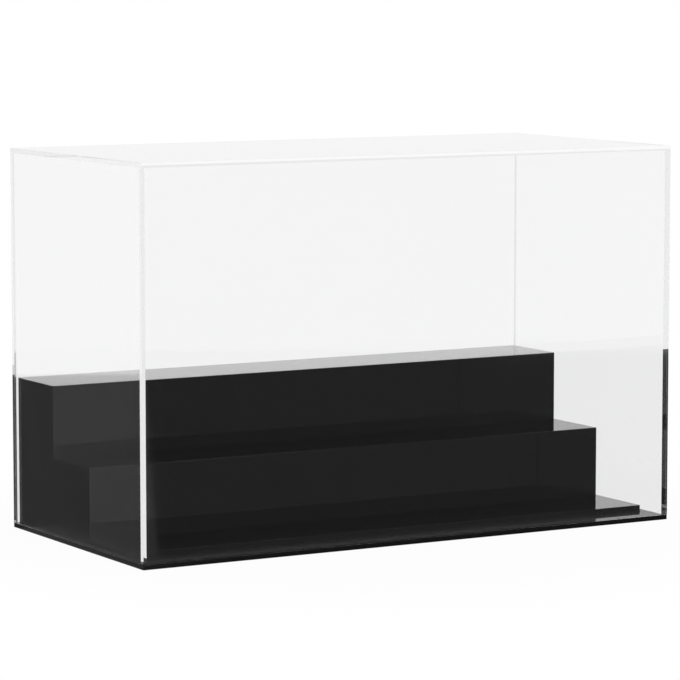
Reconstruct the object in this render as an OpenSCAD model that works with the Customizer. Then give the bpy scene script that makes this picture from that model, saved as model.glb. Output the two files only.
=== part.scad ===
// Acrylic display case: a clear lift-off cover over a loose three-tier stand on a flat base plate.
// Millimetres, +Z up, front towards -Y, origin at the centre of the base plate's underside.

/* [Case] */
// Outside width, side to side
case_w = 360; // [260:1:480]
// Outside depth, front to back
case_d = 174; // [164:1:260]
// Clear height under the top panel, from the base plate up
room_h = 224; // [150:1:320]

/* [Sheets] */
// Thickness of the clear sheet of the cover
clear_t = 3; // [2:0.1:6]
// Thickness of the black sheet of the base plate
base_t = 3; // [2:0.1:8]
// Thickness of the black sheet of the stand
board_t = 3; // [2:0.1:6]
// Width of the eased strip along each exposed edge
edge_ease = 0.3; // [0.1:0.05:0.8]

/* [Stand] */
// Depth of each of the three tiers
tread_d = 48.5; // [25:0.5:50]
// Rise from one tier to the next
step_rise = 42.8; // [20:0.1:65]

/* [Fits] */
// Gap between each end of the stand and the side panel
end_gap = 1; // [0.3:0.1:4]
// Gap between the back of the stand and the back panel
back_gap = 1; // [0.3:0.1:4]

/* [Hidden] */

BLACK = [0.03, 0.03, 0.03];
CLEAR = [0.86, 0.90, 0.92, 0.25];

// Levels of the cover
wall_z = base_t;
top_z = wall_z + room_h;

// Places of the cover's inner faces
inner_x = case_w / 2 - clear_t;
inner_y = case_d / 2 - clear_t;

// The stand's plan: it fills the cover from end to end and stands close to its back
stand_x = inner_x - end_gap;
stand_w = 2 * stand_x;
back_y = inner_y - back_gap;
upper_y = back_y - tread_d;
lower_y = upper_y - tread_d;
front_y = lower_y - tread_d;

// The tops of the three tiers
floor_top = base_t + board_t;
lower_top = floor_top + step_rise;
upper_top = lower_top + step_rise;

// A rectangle from a low to a high corner, with its named corners cut off at 45 degrees
// low_left, low_right, high_right and high_left are the widths of the cuts
module eased_rectangle(low, high, low_left = 0, low_right = 0, high_right = 0, high_left = 0) {
    difference() {
        translate(low)
            square(high - low);
        corner_cut([low.x, low.y], low_left);
        corner_cut([high.x, low.y], low_right);
        corner_cut([high.x, high.y], high_right);
        corner_cut([low.x, high.y], high_left);
    }
}

// The square on its point that takes one corner off a rectangle
module corner_cut(corner, width) {
    if (width > 0)
        translate(corner)
            rotate(45)
                square(width * sqrt(2), center = true);
}

// Draws a shape of the Y-Z plane and carries it along X from x0 to x1
module along_x(x0, x1) {
    translate([x0, 0, 0])
        rotate([90, 0, 90])
            linear_extrude(x1 - x0)
                children();
}

// Draws a shape of the X-Z plane and carries it along Y from y0 to y1
module along_y(y0, y1) {
    translate([0, y1, 0])
        rotate([90, 0, 0])
            linear_extrude(y1 - y0)
                children();
}

// A level sheet with the full plan of the case, eased along its outer edges above and below
module full_sheet(z0, z1, ease_below, ease_above) {
    half_w = case_w / 2;
    half_d = case_d / 2;
    intersection() {
        along_x(-half_w, half_w)
            eased_rectangle([-half_d, z0], [half_d, z1], ease_below, ease_below, ease_above, ease_above);
        along_y(-half_d, half_d)
            eased_rectangle([-half_w, z0], [half_w, z1], ease_below, ease_below, ease_above, ease_above);
    }
}

// A full-width wall of the cover, drawn as the front one: its two outer upright edges are eased
module wide_wall() {
    translate([0, 0, wall_z])
        linear_extrude(room_h)
            eased_rectangle([-case_w / 2, -case_d / 2], [case_w / 2, -inner_y], edge_ease, edge_ease);
}

// A wall of the cover that stands between the front and back walls, drawn as the right one
module end_wall() {
    translate([0, 0, wall_z])
        linear_extrude(room_h)
            translate([inner_x, -inner_y])
                square([clear_t, 2 * inner_y]);
}

// A level board of the stand, eased along the edge that meets the hand at the front
module tier_board(y0, y1, z_top) {
    along_x(-stand_x, stand_x)
        eased_rectangle([y0, z_top - board_t], [y1, z_top], high_left = edge_ease);
}

// An upright board of the stand, as long as the stand, from z0 to z1
module upright_board(y0, z0, z1) {
    translate([-stand_x, y0, z0])
        cube([stand_w, board_t, z1 - z0]);
}

// The stepped outline of a cheek: it fills the stand's end behind the risers and under the treads
module cheek_outline() {
    union() {
        translate([lower_y + board_t, floor_top])
            square([back_y - lower_y - 2 * board_t, lower_top - board_t - floor_top]);
        translate([upper_y + board_t, floor_top])
            square([back_y - upper_y - 2 * board_t, upper_top - board_t - floor_top]);
    }
}

// The base plate carries the cover's walls on its rim and the stand inside them
module base_plate() {
    color(BLACK)
        full_sheet(0, base_t, edge_ease, edge_ease);
}

// The front wall of the cover
module front_panel() {
    color(CLEAR)
        wide_wall();
}

// The back wall of the cover
module back_panel() {
    color(CLEAR)
        mirror([0, 1, 0])
            wide_wall();
}

// The left wall of the cover
module left_panel() {
    color(CLEAR)
        mirror([1, 0, 0])
            end_wall();
}

// The right wall of the cover
module right_panel() {
    color(CLEAR)
        end_wall();
}

// The top of the cover lies over all four walls
module top_panel() {
    color(CLEAR)
        full_sheet(top_z, top_z + clear_t, 0, edge_ease);
}

// The floor of the stand, whose front strip is the lowest tier
module stand_floor() {
    color(BLACK)
        tier_board(front_y, back_y, floor_top);
}

// The front of the middle tier
module lower_riser() {
    color(BLACK)
        upright_board(lower_y, floor_top, lower_top - board_t);
}

// The top of the middle tier runs on under the upper riser, which stands on its back strip
module lower_tread() {
    color(BLACK)
        tier_board(lower_y, upper_y + board_t, lower_top);
}

// The front of the highest tier
module upper_riser() {
    color(BLACK)
        upright_board(upper_y, lower_top, upper_top - board_t);
}

// The top of the highest tier
module upper_tread() {
    color(BLACK)
        tier_board(upper_y, back_y, upper_top);
}

// The stepped board at the left end of the stand
module left_cheek() {
    color(BLACK)
        along_x(-stand_x, board_t - stand_x)
            cheek_outline();
}

// The stepped board at the right end of the stand
module right_cheek() {
    color(BLACK)
        along_x(stand_x - board_t, stand_x)
            cheek_outline();
}

// The board that closes the stand behind
module stand_back() {
    color(BLACK)
        upright_board(back_y - board_t, floor_top, upper_top - board_t);
}

base_plate();
front_panel();
back_panel();
left_panel();
right_panel();
top_panel();
stand_floor();
lower_riser();
lower_tread();
upper_riser();
upper_tread();
left_cheek();
right_cheek();
stand_back();
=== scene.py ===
"""The looks of a clear display case with a black three-tier stand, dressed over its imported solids."""

import logging
import math
from collections.abc import Callable, Iterable
from dataclasses import dataclass, field
from enum import Enum

import bmesh
import bpy
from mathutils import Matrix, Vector


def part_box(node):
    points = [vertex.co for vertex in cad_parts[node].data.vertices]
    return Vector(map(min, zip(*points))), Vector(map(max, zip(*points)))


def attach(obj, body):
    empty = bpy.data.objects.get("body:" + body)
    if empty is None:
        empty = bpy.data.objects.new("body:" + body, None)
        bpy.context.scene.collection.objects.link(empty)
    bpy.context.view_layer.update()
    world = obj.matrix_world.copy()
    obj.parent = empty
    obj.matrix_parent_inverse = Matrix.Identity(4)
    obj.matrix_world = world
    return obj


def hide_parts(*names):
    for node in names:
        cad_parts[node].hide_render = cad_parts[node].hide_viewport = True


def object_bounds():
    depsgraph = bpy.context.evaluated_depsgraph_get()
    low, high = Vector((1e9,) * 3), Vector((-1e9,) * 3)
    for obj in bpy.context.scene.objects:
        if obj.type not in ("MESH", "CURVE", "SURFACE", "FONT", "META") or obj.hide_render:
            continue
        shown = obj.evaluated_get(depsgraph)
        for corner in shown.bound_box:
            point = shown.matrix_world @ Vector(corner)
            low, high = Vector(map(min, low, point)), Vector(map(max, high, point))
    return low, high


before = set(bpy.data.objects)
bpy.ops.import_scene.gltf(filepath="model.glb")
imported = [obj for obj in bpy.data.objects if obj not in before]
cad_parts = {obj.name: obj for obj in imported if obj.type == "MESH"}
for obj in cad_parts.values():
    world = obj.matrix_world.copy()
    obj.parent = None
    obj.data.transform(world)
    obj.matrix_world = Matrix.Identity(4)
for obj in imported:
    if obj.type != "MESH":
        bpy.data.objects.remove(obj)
cad_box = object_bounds()

LOG = logging.getLogger("display_case")
MM = 0.001
NEAR = 1e-6
LEVEL_GAZE_DEG = 90.0
CUT_EDGE = "cut_edge"
WHITE = (1.0, 1.0, 1.0)

# A count of a ray's turns is one or more above ANY, and three or more above FEW.
ANY = 0.5
FEW = 2.5

Socket = bpy.types.NodeSocket
Value = Socket | float
Pair = tuple[float, float]
Triple = tuple[float, float, float]


class Body(Enum):
    """The three bodies that move on their own."""

    BASE = "base"
    COVER = "cover"
    STAND = "stand"


class Slot(Enum):
    """The record's two material slots."""

    CLEAR = "clear_acrylic"
    BLACK = "black_acrylic"


class Face(Enum):
    """A side of a block, as its axis and the sign of its outward normal."""

    LEFT = (0, -1)
    RIGHT = (0, 1)
    FRONT = (1, -1)
    BACK = (1, 1)
    UNDER = (2, -1)
    TOP = (2, 1)


class Part(Enum):
    """What is selected while a mesh is edited."""

    EDGE = "EDGE"
    FACE = "FACE"


class MixKind(Enum):
    """What a Mix node mixes, as the places of its two inputs and of its result."""

    FLOAT = (2, 3, 0)
    RGBA = (6, 7, 2)


SIDES = (Face.LEFT, Face.RIGHT, Face.FRONT, Face.BACK)
UPRIGHT_CORNERS = tuple((a, b) for a in SIDES[:2] for b in SIDES[2:])
EdgePair = tuple[Face, Face]
BMPart = bmesh.types.BMEdge | bmesh.types.BMFace


class NodeSheet:
    """A short way to write a node tree."""

    def __init__(self, tree: bpy.types.NodeTree) -> None:
        """Takes over a tree and empties it.

        Args:
            tree: The node tree of a material or of the world.
        """
        self.tree = tree
        tree.nodes.clear()

    def add(self, kind: str, **settings: object) -> bpy.types.Node:
        """Adds a node.

        Args:
            kind: The node's type without its leading words Shader and Node.
            settings: Properties to set on it.

        Returns:
            The new node.
        """
        node = self.tree.nodes.new(f"ShaderNode{kind}")
        for name, value in settings.items():
            setattr(node, name, value)
        return node

    def feed(self, value: Value | tuple[float, ...], socket: Socket) -> None:
        """Sets or links an input.

        Args:
            value: A plain value or another node's output.
            socket: The input that takes it.
        """
        if isinstance(value, Socket):
            self.tree.links.new(value, socket)
        else:
            socket.default_value = value

    def surface(self, shader: Socket) -> None:
        """Shows a shader on the surface."""
        self.feed(shader, self.add("OutputMaterial").inputs["Surface"])

    def maths(self, operation: str, first: Value, second: Value = 0.0) -> Socket:
        """Works out one sum.

        Args:
            operation: The Math node's operation.
            first: Its first value.
            second: Its second value, where it takes one.

        Returns:
            The result.
        """
        node = self.add("Math", operation=operation)
        self.feed(first, node.inputs[0])
        self.feed(second, node.inputs[1])
        return node.outputs[0]

    def mix(
        self,
        kind: MixKind,
        share: Value,
        first: Value | tuple[float, ...],
        second: Value | tuple[float, ...],
    ) -> Socket:
        """Mixes two numbers or two colours.

        Args:
            kind: Which of the two they are.
            share: How much of the second shows, from 0 to 1.
            first: What shows at share 0.
            second: What shows at share 1.

        Returns:
            The mixture.
        """
        node = self.add("Mix", data_type=kind.name)
        first_place, second_place, result = kind.value
        for value, place in ((share, 0), (first, first_place), (second, second_place)):
            self.feed(value, node.inputs[place])
        return node.outputs[result]

    def blend(self, share: Value, first: Value, second: Value) -> Socket:
        """Mixes two numbers."""
        return self.mix(MixKind.FLOAT, share, first, second)

    def colours(self, share: Value, first: Socket | Triple, second: Triple) -> Socket:
        """Mixes two colours.

        Args:
            share: How much of the second shows, from 0 to 1.
            first: The colour at share 0, plain or another node's output.
            second: The colour at share 1.

        Returns:
            The mixed colour.
        """
        start = first if isinstance(first, Socket) else (*first, 1.0)
        return self.mix(MixKind.RGBA, share, start, (*second, 1.0))

    def shaders(self, share: Value, first: Socket, second: Socket) -> Socket:
        """Mixes two shaders.

        Args:
            share: How much of the second shows, from 0 to 1.
            first: The shader at share 0.
            second: The shader at share 1.

        Returns:
            The mixed shader.
        """
        node = self.add("MixShader")
        for value, socket in zip((share, first, second), node.inputs, strict=True):
            self.feed(value, socket)
        return node.outputs[0]

    def slope(self, value: Value, start: Value, end: Value, low: Value, high: Value) -> Socket:
        """Leads smoothly from one level to another.

        Args:
            value: What is read.
            start: Where the climb starts.
            end: Where it ends.
            low: The level before it.
            high: The level after it.

        Returns:
            The level.
        """
        node = self.add("MapRange", interpolation_type="SMOOTHSTEP")
        names = ("Value", "From Min", "From Max", "To Min", "To Max")
        for name, given in zip(names, (value, start, end, low, high), strict=True):
            self.feed(given, node.inputs[name])
        return node.outputs["Result"]

    def placed(self, cells: Triple, turn_deg: Triple) -> Socket:
        """Gives the piece's own coordinates, turned and then stretched.

        Args:
            cells: Cells per metre along each axis.
            turn_deg: The turn about each axis in degrees.

        Returns:
            A vector output.
        """
        node = self.add("Mapping")
        node.inputs["Rotation"].default_value = [math.radians(angle) for angle in turn_deg]
        node.inputs["Scale"].default_value = cells
        self.feed(self.add("TexCoord").outputs["Object"], node.inputs["Vector"])
        return node.outputs["Vector"]

    def noise(
        self,
        cells: Triple,
        detail: float = 2.0,
        turn_deg: Triple = (0.0, 0.0, 0.0),
    ) -> Socket:
        """A soft random pattern fixed to the piece.

        Args:
            cells: Cells per metre along each axis.
            detail: How many finer layers are added.
            turn_deg: The turn of the pattern about each axis in degrees.

        Returns:
            A number about one half.
        """
        node = self.add("TexNoise")
        node.inputs["Scale"].default_value = 1.0
        node.inputs["Detail"].default_value = detail
        self.feed(self.placed(cells, turn_deg), node.inputs["Vector"])
        return node.outputs["Fac"]

    def bump(
        self,
        pattern: Socket,
        reach: float,
        under: Socket | None = None,
        *,
        sunk: bool = False,
    ) -> Socket:
        """Raises or sinks the surface by a pattern.

        Args:
            pattern: The pattern.
            reach: How high or deep it goes, in metres.
            under: The normal of the bump that it lies on, if there is one.
            sunk: Whether it goes in instead of out.

        Returns:
            The normal.
        """
        node = self.add("Bump", invert=sunk)
        node.inputs["Distance"].default_value = reach
        self.feed(pattern, node.inputs["Height"])
        if under is not None:
            self.feed(under, node.inputs["Normal"])
        return node.outputs[0]

    def cut_edge(self) -> Socket:
        """One on the sawn edges of a sheet and nought on its faces and polished edges."""
        return self.add("Attribute", attribute_name=CUT_EDGE).outputs["Fac"]


def start_material(name: str) -> tuple[bpy.types.Material, NodeSheet]:
    """Starts a material.

    Args:
        name: The material's name.

    Returns:
        The material and its empty node tree.
    """
    material = bpy.data.materials.new(name)
    material.use_nodes = True
    return material, NodeSheet(material.node_tree)


@dataclass(frozen=True)
class ClearAcrylic:
    """Polished clear sheet with a faint, cloudy tint and sawn edges that are darker and satin.

    Light that is caught between a sheet's two faces is let out after a few mirrorings, as the fine
    flaws of real sheet do, so the upright edges gleam instead of going dark.
    """

    name: str = "clear_acrylic"
    bend: float = 1.49
    thin_tint: Triple = (0.951, 0.952, 0.952)
    deep_tint: Triple = (0.961, 0.962, 0.962)
    edge_tint: Triple = (0.756, 0.760, 0.760)
    tint_cells: float = 5.0
    glare: Triple = (0.3, 0.3, 0.3)
    edge_rough: float = 0.02
    edge_cells: float = 400.0
    mirrorings: float = FEW

    def make(self) -> bpy.types.Material:
        """Builds the finish.

        Returns:
            The material.
        """
        material, sheet = start_material(self.name)
        acrylic = sheet.add("BsdfPrincipled")
        acrylic.inputs["IOR"].default_value = self.bend
        acrylic.inputs["Transmission Weight"].default_value = 1.0
        acrylic.inputs["Specular Tint"].default_value = (*self.glare, 1.0)
        cut = sheet.cut_edge()
        cast = sheet.colours(sheet.noise((self.tint_cells,) * 3), self.thin_tint, self.deep_tint)
        sheet.feed(sheet.colours(cut, cast, self.edge_tint), acrylic.inputs["Base Color"])
        satin = sheet.maths("MULTIPLY", sheet.noise((self.edge_cells,) * 3), self.edge_rough)
        sheet.feed(sheet.maths("MULTIPLY", cut, satin), acrylic.inputs["Roughness"])
        depth = sheet.add("LightPath").outputs["Glossy Depth"]
        caught = sheet.maths("GREATER_THAN", depth, self.mirrorings)
        let_out = sheet.add("BsdfTransparent").outputs[0]
        sheet.surface(sheet.shaders(caught, acrylic.outputs[0], let_out))
        return material


@dataclass(frozen=True)
class BlackAcrylic:
    """Gloss black sheet with faint wiping marks, a slight waviness and satin sawn edges."""

    name: str = "black_acrylic"
    bend: float = 1.49
    dark: Triple = (0.0132, 0.0132, 0.0133)
    light: Triple = (0.0138, 0.0138, 0.0139)
    edge_dark: Triple = (0.0030, 0.0030, 0.0031)
    tone_cells: float = 30.0
    coat: float = 0.0
    mirror: float = 0.5
    noise_span: Pair = (0.3, 0.7)
    gloss: Pair = (0.015, 0.035)
    edge_rough: Pair = (0.05, 0.16)
    edge_cells: float = 700.0
    edge_detail: float = 3.0
    wave_cells: float = 14.0
    wave_height: float = 0.004 * MM
    mark_cells: Triple = (9.0, 900.0, 900.0)
    mark_span: Pair = (0.68, 0.76)
    mark_turns_deg: Pair = (8.0, 52.0)
    mark_tilt: float = 0.4
    mark_rough: float = 0.05
    mark_depth: float = 0.0004 * MM

    def marks(self, sheet: NodeSheet, turn: float) -> Socket:
        """Hairline wiping marks that run one way.

        Args:
            sheet: The node tree to add to.
            turn: The way they run, in degrees.

        Returns:
            One on a mark and nought beside it.
        """
        way = (turn, turn * self.mark_tilt, turn)
        streaks = sheet.noise(self.mark_cells, detail=1.0, turn_deg=way)
        return sheet.slope(streaks, *self.mark_span, 0.0, 1.0)

    def make(self) -> bpy.types.Material:
        """Builds the finish.

        Returns:
            The material.
        """
        material, sheet = start_material(self.name)
        acrylic = sheet.add("BsdfPrincipled")
        acrylic.inputs["IOR"].default_value = self.bend
        acrylic.inputs["Specular IOR Level"].default_value = self.mirror
        acrylic.inputs["Coat Weight"].default_value = self.coat
        acrylic.inputs["Coat Roughness"].default_value = self.gloss[0]
        cut = sheet.cut_edge()
        tone = sheet.colours(sheet.noise((self.tone_cells,) * 3), self.dark, self.light)
        sheet.feed(sheet.colours(cut, tone, self.edge_dark), acrylic.inputs["Base Color"])
        waves = sheet.noise((self.wave_cells,) * 3, detail=1.0)
        marks = sheet.maths("MAXIMUM", *(self.marks(sheet, turn) for turn in self.mark_turns_deg))
        polished = sheet.slope(waves, *self.noise_span, *self.gloss)
        wiped = sheet.maths("ADD", polished, sheet.maths("MULTIPLY", marks, self.mark_rough))
        grain = sheet.noise((self.edge_cells,) * 3, detail=self.edge_detail)
        satin = sheet.slope(grain, *self.noise_span, *self.edge_rough)
        sheet.feed(sheet.blend(cut, wiped, satin), acrylic.inputs["Roughness"])
        wavy = sheet.bump(waves, self.wave_height)
        marked = sheet.bump(marks, self.mark_depth, wavy, sunk=True)
        sheet.feed(marked, acrylic.inputs["Normal"])
        sheet.surface(acrylic.outputs[0])
        return material


CLEAR_WALLS = ClearAcrylic()
# Light runs on through the top to its far edge, so that its near edge shows what lies behind.
CLEAR_TOP = ClearAcrylic(name="clear_acrylic_top", mirrorings=6.5)
BLACK_BOARDS = BlackAcrylic()
BLACK_TREADS = BlackAcrylic(name="black_acrylic_high_gloss", coat=0.6)
BLACK_PLATE = BlackAcrylic(
    name="black_acrylic_base",
    mirror=0.25,
    edge_dark=(0.0050, 0.0050, 0.0051),
)


class Workbench:
    """The modelling steps that all the sheets share."""

    SMOOTH_BELOW_DEG = 40.0
    FLAT_NORMAL = 0.9999
    BROAD_NORMAL = 0.9

    @staticmethod
    def block(name: str, low: Vector, high: Vector) -> bpy.types.Object:
        """Adds a block between two corners, with its place in its mesh.

        Args:
            name: The piece's name.
            low: Its lowest corner.
            high: Its highest corner.

        Returns:
            The new object, at the origin.
        """
        bpy.ops.object.select_all(action="DESELECT")
        bpy.ops.mesh.primitive_cube_add(size=1.0, location=(low + high) / 2, scale=high - low)
        piece = bpy.context.active_object
        piece.name = name
        piece.data.name = name
        bpy.ops.object.transform_apply(location=True, rotation=True, scale=True)
        return piece

    @staticmethod
    def select(piece: bpy.types.Object, kind: Part, chosen: Callable[[BMPart], bool]) -> None:
        """Selects edges or faces of a piece in edit mode.

        Args:
            piece: The piece in edit mode.
            kind: Whether edges or faces are looked at.
            chosen: The test that each selected one passes.
        """
        bpy.ops.mesh.select_mode(type=kind.value)
        bpy.ops.mesh.select_all(action="DESELECT")
        mesh = bmesh.from_edit_mesh(piece.data)
        for part in mesh.faces if kind is Part.FACE else mesh.edges:
            part.select_set(chosen(part))
        bmesh.update_edit_mesh(piece.data)

    @classmethod
    def ease(
        cls,
        piece: bpy.types.Object,
        edges: Iterable[EdgePair],
        width: float,
        steps: int,
    ) -> None:
        """Rounds some edges of a block.

        Args:
            piece: The block.
            edges: Each edge as the two faces that meet there.
            width: How far the rounding reaches on each face.
            steps: The number of strips in the rounding.
        """
        corners = [Vector(corner) for corner in piece.bound_box]
        low = Vector(map(min, zip(*corners, strict=True)))
        high = Vector(map(max, zip(*corners, strict=True)))
        pairs = list(edges)

        def lies_on(place: Vector, face: Face) -> bool:
            """True where a point is on that face of the block."""
            axis, sign = face.value
            return abs(place[axis] - (high if sign > 0 else low)[axis]) < NEAR

        def chosen(edge: BMPart) -> bool:
            """True for an edge that lies along one of the pairs."""
            return any(all(lies_on(v.co, f) for v in edge.verts for f in pair) for pair in pairs)

        bpy.ops.object.mode_set(mode="EDIT")
        cls.select(piece, Part.EDGE, chosen)
        bpy.ops.mesh.bevel(offset=width, segments=steps, affect="EDGES")
        bpy.ops.object.mode_set(mode="OBJECT")

    @classmethod
    def smooth(cls, piece: bpy.types.Object) -> None:
        """Smooths the rounded edges and keeps the broad faces truly flat.

        Args:
            piece: The finished mesh.
        """
        bpy.ops.object.select_all(action="DESELECT")
        piece.select_set(True)
        bpy.context.view_layer.objects.active = piece
        bpy.ops.object.shade_smooth_by_angle(angle=math.radians(cls.SMOOTH_BELOW_DEG))
        bpy.ops.object.mode_set(mode="EDIT")
        cls.select(piece, Part.FACE, lambda face: max(map(abs, face.normal)) > cls.FLAT_NORMAL)
        bpy.ops.mesh.faces_shade_flat()
        bpy.ops.object.mode_set(mode="OBJECT")

    @classmethod
    def mark_cut_edges(cls, piece: bpy.types.Object, thin_axis: int, sawn: Triple) -> None:
        """Notes on each face whether it is a cut edge of the sheet, and how far from polished.

        Args:
            piece: The finished sheet.
            thin_axis: The axis across its thickness.
            sawn: How far from polished the edges across each axis are, from 0 to 1.
        """
        note = piece.data.attributes.new(CUT_EDGE, "FLOAT", "FACE")
        for polygon in piece.data.polygons:
            across = max(range(3), key=lambda axis: abs(polygon.normal[axis]))
            edge = abs(polygon.normal[thin_axis]) < cls.BROAD_NORMAL
            note.data[polygon.index].value = sawn[across] if edge else 0.0

    @classmethod
    def finish(
        cls,
        piece: bpy.types.Object,
        node: str,
        body: Body,
        slot: Slot,
        material: bpy.types.Material,
        sawn: Triple = (0.0, 0.0, 0.0),
    ) -> None:
        """Smooths a piece, gives it its finish and sets it in the place of its solid.

        Args:
            piece: The finished mesh.
            node: The solid that it stands for.
            body: The body that it moves with.
            slot: The record's slot of its finish; not used.
            material: The finish.
            sawn: How far from polished the edges across each axis are, from 0 to 1.
        """
        low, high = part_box(node)
        size = high - low
        cls.mark_cut_edges(piece, min(range(3), key=lambda axis: size[axis]), sawn)
        cls.smooth(piece)
        piece.data.materials.clear()
        piece.data.materials.append(material)
        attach(piece, body.value)
        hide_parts(node)
        LOG.info("%s stands for %s on %s", piece.name, node, body.value)


@dataclass
class BasePlate:
    """The black plate that carries the stand and the cover."""

    ease: float = 0.3 * MM
    steps: int = 3
    sawn: Triple = (1.0, 1.0, 1.0)

    def build(self, finish: bpy.types.Material) -> None:
        """Models the plate, eased all round.

        Args:
            finish: The black acrylic.
        """
        low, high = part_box("base_plate")
        plate = Workbench.block("plate", low, high)
        rims = [(side, level) for side in SIDES for level in (Face.UNDER, Face.TOP)]
        Workbench.ease(plate, [*rims, *UPRIGHT_CORNERS], self.ease, self.steps)
        Workbench.finish(plate, "base_plate", Body.BASE, Slot.BLACK, finish, self.sawn)


@dataclass
class Cover:
    """The five clear panels that lift off as one.

    A hairline is left at each bonded seam, so that two panels never share a face, and the walls'
    rims are let the same hair into the plate, so that no bright line shows under them. All the
    edges are sawn, apart from the top's front and back, which are polished.
    """

    ease: float = 0.15 * MM
    rim_ease: float = 0.1 * MM
    steps: int = 3
    seam: float = 0.05 * MM
    wall_sawn: Triple = (1.0, 1.0, 1.0)
    top_sawn: Triple = (1.0, 0.0, 1.0)
    outward: dict[str, Face] = field(
        default_factory=lambda: {
            "front_panel": Face.FRONT,
            "back_panel": Face.BACK,
            "left_panel": Face.LEFT,
            "right_panel": Face.RIGHT,
        }
    )

    def build(self, finish: bpy.types.Material, top_finish: bpy.types.Material) -> None:
        """Models the four walls and the top.

        Args:
            finish: The clear acrylic of the walls.
            top_finish: The clear acrylic of the top.
        """
        for node, face in self.outward.items():
            self.wall(node, face, finish)
        low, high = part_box("top_panel")
        top = Workbench.block("clear_top", low, high)
        rims = [(side, Face.TOP) for side in SIDES]
        Workbench.ease(top, [*rims, *UPRIGHT_CORNERS], self.ease, self.steps)
        self.fit(top, "top_panel", top_finish, self.top_sawn)

    def wall(self, node: str, face: Face, finish: bpy.types.Material) -> None:
        """Models one wall.

        Args:
            node: The solid that it stands for.
            face: The way it faces.
            finish: The clear acrylic.
        """
        low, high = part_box(node)
        low.z -= self.seam
        high.z -= self.seam
        between = face in (Face.LEFT, Face.RIGHT)
        if between:
            low.y += self.seam
            high.y -= self.seam
        wall = Workbench.block(node.replace("_panel", "_wall"), low, high)
        Workbench.ease(wall, [(face, Face.UNDER)], self.rim_ease, self.steps)
        if not between:
            Workbench.ease(wall, [(Face.LEFT, face), (Face.RIGHT, face)], self.ease, self.steps)
        self.fit(wall, node, finish, self.wall_sawn)

    @staticmethod
    def fit(panel: bpy.types.Object, node: str, finish: bpy.types.Material, sawn: Triple) -> None:
        """Finishes one panel, which lets the lamps' light through.

        Args:
            panel: The modelled panel.
            node: The solid that it stands for.
            finish: The clear acrylic.
            sawn: How far from polished the edges across each axis are, from 0 to 1.
        """
        panel.visible_shadow = False
        Workbench.finish(panel, node, Body.COVER, Slot.CLEAR, finish, sawn)


@dataclass
class SteppedStand:
    """The loose black stand: a floor, two risers, two treads, two cheeks and a back."""

    ease: float = 0.10 * MM
    steps: int = 3
    upward_normal: float = 0.5
    front_edges: tuple[EdgePair, ...] = (
        (Face.LEFT, Face.FRONT),
        (Face.RIGHT, Face.FRONT),
    )
    back_edges: tuple[EdgePair, ...] = (
        (Face.LEFT, Face.BACK),
        (Face.RIGHT, Face.BACK),
    )
    tread_edges: tuple[EdgePair, ...] = (
        (Face.FRONT, Face.TOP),
        (Face.LEFT, Face.TOP),
        (Face.RIGHT, Face.TOP),
    )

    def build(self, upright: bpy.types.Material, level: bpy.types.Material) -> None:
        """Models the eight boards.

        Args:
            upright: The black acrylic of the boards.
            level: The high-gloss black acrylic of the faces that things stand on.
        """
        nose = ((Face.FRONT, Face.TOP), (Face.FRONT, Face.UNDER))
        last = ((Face.BACK, Face.TOP), *self.back_edges)
        eased: dict[str, tuple[EdgePair, ...]] = {
            "stand_floor": (*nose, *self.front_edges),
            "lower_riser": self.front_edges,
            "lower_tread": (*self.tread_edges, *self.front_edges),
            "upper_riser": self.front_edges,
            "upper_tread": (*self.tread_edges, *self.front_edges, *last),
            "stand_back": self.back_edges,
        }
        for node, edges in eased.items():
            board = self.board(node, edges, upright)
            if node.endswith(("floor", "tread")):
                self.polish_top(board, level)
        for node in ("left_cheek", "right_cheek"):
            self.cheek(node, upright)

    def board(
        self,
        node: str,
        edges: Iterable[EdgePair],
        finish: bpy.types.Material,
    ) -> bpy.types.Object:
        """Models one rectangular board.

        Args:
            node: The solid that it stands for.
            edges: The edges that meet the hand.
            finish: The black acrylic.

        Returns:
            The board.
        """
        low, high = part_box(node)
        board = Workbench.block(f"{node}_board", low, high)
        Workbench.ease(board, edges, self.ease, self.steps)
        Workbench.finish(board, node, Body.STAND, Slot.BLACK, finish)
        return board

    def polish_top(self, board: bpy.types.Object, finish: bpy.types.Material) -> None:
        """Gives the face that things stand on its own finish.

        Args:
            board: The finished board.
            finish: The high-gloss black acrylic.
        """
        board.data.materials.append(finish)
        for polygon in board.data.polygons:
            if polygon.normal.z > self.upward_normal:
                polygon.material_index = 1

    def cheek(self, node: str, finish: bpy.types.Material) -> None:
        """Models one stepped end board: a low block whose back part is drawn up to the higher tier.

        Args:
            node: The solid that it stands for.
            finish: The black acrylic.
        """
        low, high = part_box(node)
        step_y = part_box("upper_riser")[1].y
        step_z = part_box("lower_tread")[0].z
        cheek = Workbench.block(f"{node}_board", low, Vector((high.x, high.y, step_z)))
        bpy.ops.object.mode_set(mode="EDIT")
        bpy.ops.mesh.select_all(action="SELECT")
        bpy.ops.mesh.bisect(plane_co=(0.0, step_y, 0.0), plane_no=(0.0, 1.0, 0.0))
        Workbench.select(
            cheek,
            Part.FACE,
            lambda face: all(v.co.z > step_z - NEAR and v.co.y > step_y - NEAR for v in face.verts),
        )
        rise = (0.0, 0.0, high.z - step_z)
        bpy.ops.mesh.extrude_region_move(TRANSFORM_OT_translate={"value": rise})
        bpy.ops.object.mode_set(mode="OBJECT")
        Workbench.finish(cheek, node, Body.STAND, Slot.BLACK, finish)


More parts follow.
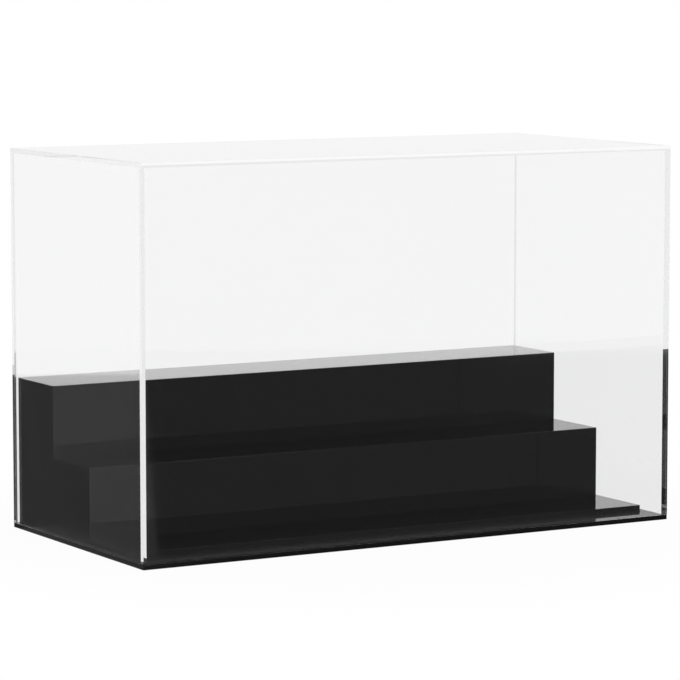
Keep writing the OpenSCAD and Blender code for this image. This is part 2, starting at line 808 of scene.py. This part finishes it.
@dataclass(frozen=True)
class Rays:
    """The kinds of ray, each as one where a ray is of that kind and nought where it isn't.

    A mirrored ray was mirrored once or twice, a caught one more often than that in a sheet and
    then let out, a spread one was scattered by a dull surface, and an outside one never reached
    the inside of the case.
    """

    mirrored: Socket
    caught: Socket
    spread: Socket
    outside: Socket

    @classmethod
    def of(cls, sheet: NodeSheet) -> "Rays":
        """Tells the kinds of ray apart.

        Args:
            sheet: The node tree to add to.

        Returns:
            The kinds.
        """
        path = sheet.add("LightPath")
        depth = path.outputs["Glossy Depth"]
        caught = sheet.maths("GREATER_THAN", depth, FEW)
        return cls(
            mirrored=sheet.maths("SUBTRACT", sheet.maths("GREATER_THAN", depth, ANY), caught),
            caught=caught,
            spread=sheet.maths("GREATER_THAN", path.outputs["Diffuse Depth"], ANY),
            outside=sheet.maths("LESS_THAN", path.outputs["Transmission Depth"], FEW),
        )


@dataclass(frozen=True)
class Heading:
    """Where a ray that leaves the scene is headed, and how much of each dark card it meets."""

    x: Socket
    y: Socket
    z: Socket
    behind: Socket
    front_card: Socket
    back_card: Socket


@dataclass(frozen=True)
class Room:
    """The room that the polished faces mirror, as levels of light by the direction of the ray.

    A ray that was never mirrored sees plain white. One that was mirrored once or twice sees a
    mid-grey floor, a pale strip at eye level and a pale sky, with a dark card at either side in
    front and one at the left behind. Of the rays that were caught in a sheet, those that climb
    see less than white, and a ray that was spread sees an even grey.
    """

    ambient: float = 0.2
    behind_from: Pair = (-0.3, 0.3)
    floor_level: float = 0.5
    right_side: Pair = (0.3, 0.4)
    right_floor_inside: float = 0.0
    front_rim: Pair = (-0.1132, -0.1122)
    back_rim: Pair = (-0.1125, -0.1085)
    back_rim_outside: Pair = (-0.1200, -0.1185)
    strip_front: float = 0.85
    strip_back: float = 1.0
    front_strip_end: Pair = (0.117, 0.122)
    back_strip_end: Pair = (-0.04, 0.09)
    sky_level: float = 0.91
    sky_turn: Pair = (0.2, 0.7)
    front_sky_low: float = 0.34
    front_sky_rise: Pair = (0.2, 0.45)
    back_sky_rise: Pair = (0.119, 0.131)
    back_sky_high: float = 0.77
    front_card: tuple[float, ...] = (0.4452, 0.4478, 0.62, 0.68)
    front_card_low: float = 0.13
    front_card_high: Pair = (0.05, 0.2)
    back_card: tuple[float, ...] = (-0.55, -0.49, -0.40, -0.34)
    back_card_low: float = 0.118
    back_card_low_inside: float = 0.0
    back_card_high: float = 0.3
    caught_rise: Pair = (0.02, 0.06)
    caught_high: float = 0.86
    caught_high_inside: float = 0.1

    def build(self) -> None:
        """Makes the world: white all round, and the room's own levels for mirrored rays."""
        world = bpy.data.worlds.new("studio")
        bpy.context.scene.world = world
        world.use_nodes = True
        world.cycles.sampling_method = "NONE"
        sheet = NodeSheet(world.node_tree)
        rays = Rays.of(sheet)
        way = self.heading(sheet)
        unmirrored = sheet.blend(rays.caught, 1.0, self.let_out(sheet, way, rays))
        seen = sheet.blend(rays.mirrored, unmirrored, self.mirrored(sheet, way, rays))
        background = sheet.add("Background")
        background.inputs["Color"].default_value = (*WHITE, 1.0)
        sheet.feed(sheet.blend(rays.spread, seen, self.ambient), background.inputs["Strength"])
        sheet.feed(background.outputs[0], sheet.add("OutputWorld").inputs["Surface"])

    def heading(self, sheet: NodeSheet) -> Heading:
        """Reads the ray's direction.

        Args:
            sheet: The world's node tree.

        Returns:
            The direction and the cards that lie that way.
        """
        parts = sheet.add("SeparateXYZ")
        sheet.feed(sheet.add("TexCoord").outputs["Generated"], parts.inputs[0])
        x, y, z = parts.outputs
        return Heading(
            x=x,
            y=y,
            z=z,
            behind=sheet.slope(y, *self.behind_from, 0.0, 1.0),
            front_card=self.card(sheet, sheet.maths("ABSOLUTE", x), self.front_card),
            back_card=self.card(sheet, x, self.back_card),
        )

    @staticmethod
    def card(sheet: NodeSheet, across: Socket, edges: tuple[float, ...]) -> Socket:
        """Places a dark card in the room.

        Args:
            sheet: The world's node tree.
            across: The sideways part of the ray's direction.
            edges: Where the card fades in and out, in order.

        Returns:
            One on the card and nought beside it.
        """
        first = sheet.slope(across, *edges[:2], 0.0, 1.0)
        return sheet.slope(across, *edges[2:], first, 0.0)

    def upper(self, sheet: NodeSheet, way: Heading) -> Socket:
        """The strip at eye level and the sky over it.

        Args:
            sheet: The world's node tree.
            way: The ray's direction.

        Returns:
            The level of light.
        """
        front_clear = sheet.slope(way.z, *self.front_sky_rise, self.front_sky_low, self.sky_level)
        front_dark = sheet.slope(way.z, *self.front_sky_rise, *self.front_card_high)
        front_sky = sheet.blend(way.front_card, front_clear, front_dark)
        back_clear = sheet.slope(way.z, *self.back_sky_rise, self.sky_level, self.back_sky_high)
        back_sky = sheet.blend(way.back_card, back_clear, self.back_card_high)
        sky = sheet.slope(way.y, *self.sky_turn, front_sky, back_sky)
        strip = sheet.blend(way.behind, self.strip_front, self.strip_back)
        ends = zip(self.front_strip_end, self.back_strip_end, strict=True)
        end = (sheet.blend(way.behind, front, back) for front, back in ends)
        return sheet.slope(way.z, *end, strip, sky)

    def lower(self, sheet: NodeSheet, way: Heading, rays: Rays) -> Socket:
        """The floor of the room and the feet of the cards.

        Behind the case, the floor at the right and the card's foot are darker for a ray that comes
        from inside the case.

        Args:
            sheet: The world's node tree.
            way: The ray's direction.
            rays: The kinds of ray.

        Returns:
            The level of light.
        """
        front = sheet.blend(way.front_card, self.floor_level, self.front_card_low)
        to_right = sheet.slope(way.x, *self.right_side, 0.0, 1.0)
        right = sheet.blend(rays.outside, self.right_floor_inside, self.floor_level)
        clear = sheet.blend(to_right, self.floor_level, right)
        dark = sheet.blend(rays.outside, self.back_card_low_inside, self.back_card_low)
        back = sheet.blend(way.back_card, clear, dark)
        return sheet.blend(way.behind, front, back)

    def mirrored(self, sheet: NodeSheet, way: Heading, rays: Rays) -> Socket:
        """All that a mirrored ray sees, from the floor up.

        Args:
            sheet: The world's node tree.
            way: The ray's direction.
            rays: The kinds of ray.

        Returns:
            The level of light.
        """
        rims = zip(self.front_rim, self.back_rim, self.back_rim_outside, strict=True)
        rim = (
            sheet.blend(way.behind, front, sheet.blend(rays.outside, inside, outside))
            for front, inside, outside in rims
        )
        lower = self.lower(sheet, way, rays)
        return sheet.slope(way.z, *rim, lower, self.upper(sheet, way))

    def let_out(self, sheet: NodeSheet, way: Heading, rays: Rays) -> Socket:
        """What a ray sees that was caught in a sheet and let out.

        Args:
            sheet: The world's node tree.
            way: The ray's direction.
            rays: The kinds of ray.

        Returns:
            White where the ray falls, and less where it climbs.
        """
        inside, outside = (
            sheet.slope(way.z, *self.caught_rise, 1.0, high)
            for high in (self.caught_high_inside, self.caught_high)
        )
        return sheet.blend(rays.outside, inside, outside)


@dataclass(frozen=True)
class PaintedPool:
    """A painted strip of glow on the floor along one side of the case, in metres from that side."""

    level: float
    start: Pair
    full: float
    fade: float
    end: Pair

    def share(self, sheet: NodeSheet, away: Socket, beyond: Socket) -> Socket:
        """Tells how much of the strip shows.

        Args:
            sheet: The floor's node tree.
            away: The distance from that side of the case.
            beyond: The distance past the ends of that side.

        Returns:
            Its level close to the case, fading to nought.
        """
        steps = sheet.maths("DIVIDE", sheet.maths("SUBTRACT", self.full, away), self.fade)
        fade = sheet.maths("MINIMUM", sheet.maths("EXPONENT", steps), 1.0)
        within = sheet.slope(beyond, *self.end, sheet.maths("MULTIPLY", fade, self.level), 0.0)
        return sheet.slope(away, *self.start, 0.0, within)


@dataclass(frozen=True)
class Lamp:
    """A soft lamp that lights the case without showing in its mirror faces."""

    name: str
    place: Triple
    size: Pair
    watts: float
    aim: Triple = (0.0, 0.0, 0.08)

    def hang(self) -> None:
        """Adds the lamp and turns it to the case."""
        light = bpy.data.lights.new(self.name, "AREA")
        light.shape = "RECTANGLE"
        light.size, light.size_y = self.size
        light.energy = self.watts
        lamp = bpy.data.objects.new(self.name, light)
        bpy.context.scene.collection.objects.link(lamp)
        lamp.location = self.place
        gaze = Vector(self.aim) - Vector(self.place)
        lamp.rotation_euler = gaze.to_track_quat("-Z", "Y").to_euler()
        lamp.visible_camera = False
        lamp.visible_glossy = False
        lamp.visible_transmission = False
        LOG.info("the %s lamp hangs", self.name)


@dataclass
class Studio:
    """A white floor and background, a soft lamp in front and a soft lamp above.

    Mirrored rays pass through the floor into the room, apart from painted strips of glow close to the
    case, which the feet of the walls mirror; these strips are painted light, lit by no lamp.
    """

    floor_half: float = 30.0
    floor_drop: float = 0.05 * MM
    shadow_share: float = 0.03
    shadow_reach: Pair = (0.17, 0.34)
    shadow_albedo: float = 0.9
    # Painted light: glowing strips on the floor beside the case, lit by no lamp, for the walls' feet to
    # mirror.
    front_painted_pool: PaintedPool = PaintedPool(
        level=1.0,
        start=(0.0135, 0.0165),
        full=0.022,
        fade=0.011,
        end=(0.02, 0.05),
    )
    side_painted_pool: PaintedPool = PaintedPool(
        level=0.28,
        start=(-0.002, 0.0),
        full=0.0,
        fade=0.0112,
        end=(-0.01, 0.0),
    )
    room: Room = Room()
    lamps: tuple[Lamp, ...] = (
        Lamp("key", place=(0.25, -2.2, 0.45), size=(1.6, 0.7), watts=30.0),
        Lamp("overhead", place=(0.2, 0.4, 1.9), size=(1.4, 1.4), watts=4.0),
    )

    def build(self) -> None:
        """Lays the floor, sets the background and hangs the lamps."""
        self.lay_floor()
        self.room.build()
        for lamp in self.lamps:
            lamp.hang()
        LOG.info("the studio is set")

    def lay_floor(self) -> None:
        """A wide white floor that takes a faint shadow close to the case."""
        bpy.ops.object.select_all(action="DESELECT")
        place = (0.0, 0.0, -self.floor_drop)
        bpy.ops.mesh.primitive_plane_add(size=2 * self.floor_half, location=place)
        floor = bpy.context.active_object
        floor.name = "floor"
        bpy.ops.object.transform_apply(location=True, rotation=True, scale=True)
        floor.data.materials.append(self.floor_finish())

    def floor_finish(self) -> bpy.types.Material:
        """White that takes a shadow, and only its painted strips of glow for mirrored rays.

        Returns:
            The material.
        """
        material, sheet = start_material("white_floor")
        material.cycles.emission_sampling = "NONE"
        rays = Rays.of(sheet)
        glow = sheet.add("Emission")
        sheet.feed(sheet.blend(rays.spread, 1.0, self.room.ambient), glow.inputs["Strength"])
        matt = sheet.add("BsdfDiffuse")
        matt.inputs["Color"].default_value = (*(self.shadow_albedo,) * 3, 1.0)
        reach = sheet.add("VectorMath", operation="LENGTH")
        sheet.feed(sheet.add("TexCoord").outputs["Object"], reach.inputs[0])
        near = sheet.slope(reach.outputs["Value"], *self.shadow_reach, self.shadow_share, 0.0)
        ground = sheet.shaders(near, glow.outputs[0], matt.outputs[0])
        # Painted light: emission strips close to the case, seen only by mirrored rays, stand in for a
        # pool of light on the floor.
        painted_glow = sheet.maths("MULTIPLY", self.painted_floor_glow(sheet), rays.outside)
        unlit = sheet.add("BsdfTransparent").outputs[0]
        painted_pools = sheet.shaders(painted_glow, unlit, sheet.add("Emission").outputs[0])
        sheet.surface(sheet.shaders(rays.mirrored, ground, painted_pools))
        return material

    def painted_floor_glow(self, sheet: NodeSheet) -> Socket:
        """The painted glow on the floor close to the case that the feet of the walls mirror: painted
        light, from no lamp.

        Args:
            sheet: The floor's node tree.

        Returns:
            How much of it shows: most before the front wall, less beside the end walls.
        """
        place = sheet.add("SeparateXYZ")
        sheet.feed(sheet.add("TexCoord").outputs["Object"], place.inputs[0])
        half_width, half_depth, _ = cad_box[1]
        ahead = sheet.maths("MULTIPLY", place.outputs["Y"], -1.0)
        from_front = sheet.maths("SUBTRACT", ahead, half_depth)
        from_side, from_ends = (
            sheet.maths("SUBTRACT", sheet.maths("ABSOLUTE", place.outputs[axis]), half)
            for axis, half in (("X", half_width), ("Y", half_depth))
        )
        front = self.front_painted_pool.share(sheet, from_front, from_side)
        side = self.side_painted_pool.share(sheet, from_side, from_ends)
        return sheet.maths("MAXIMUM", front, side)


@dataclass
class Viewpoint:
    """The camera at the photograph's place, with no shift."""

    place: Triple = (-1.0505, -1.8176, 0.3441)
    yaw_deg: float = 29.982
    pitch_deg: float = 6.295
    lens_mm: float = 184.14
    sensor_mm: float = 36.0

    def build(self) -> None:
        """Adds the camera and makes it the scene's own."""
        data = bpy.data.cameras.new("viewpoint")
        data.lens = self.lens_mm
        data.sensor_width = self.sensor_mm
        camera = bpy.data.objects.new("viewpoint", data)
        bpy.context.scene.collection.objects.link(camera)
        camera.location = self.place
        tilt = math.radians(LEVEL_GAZE_DEG - self.pitch_deg)
        camera.rotation_euler = (tilt, 0.0, math.radians(-self.yaw_deg))
        bpy.context.scene.camera = camera
        LOG.info("the camera is placed")


def set_light_paths(scene: bpy.types.Scene, bounces: int = 24) -> None:
    """Lets light pass enough sheets one behind another, and keeps colours as written.

    Args:
        scene: The scene to set.
        bounces: The most times that a ray turns.
    """
    scene.view_settings.view_transform = "Standard"
    scene.cycles.max_bounces = bounces
    scene.cycles.glossy_bounces = bounces
    scene.cycles.transmission_bounces = bounces
    scene.cycles.transparent_max_bounces = bounces


def main() -> None:
    """Builds the camera, the case and the studio in order."""
    logging.basicConfig(level=logging.INFO, format="%(name)s: %(message)s")
    Viewpoint().build()
    BasePlate().build(BLACK_PLATE.make())
    Cover().build(CLEAR_WALLS.make(), CLEAR_TOP.make())
    SteppedStand().build(BLACK_BOARDS.make(), BLACK_TREADS.make())
    Studio().build()
    set_light_paths(bpy.context.scene)


if __name__ == "__main__":
    main()
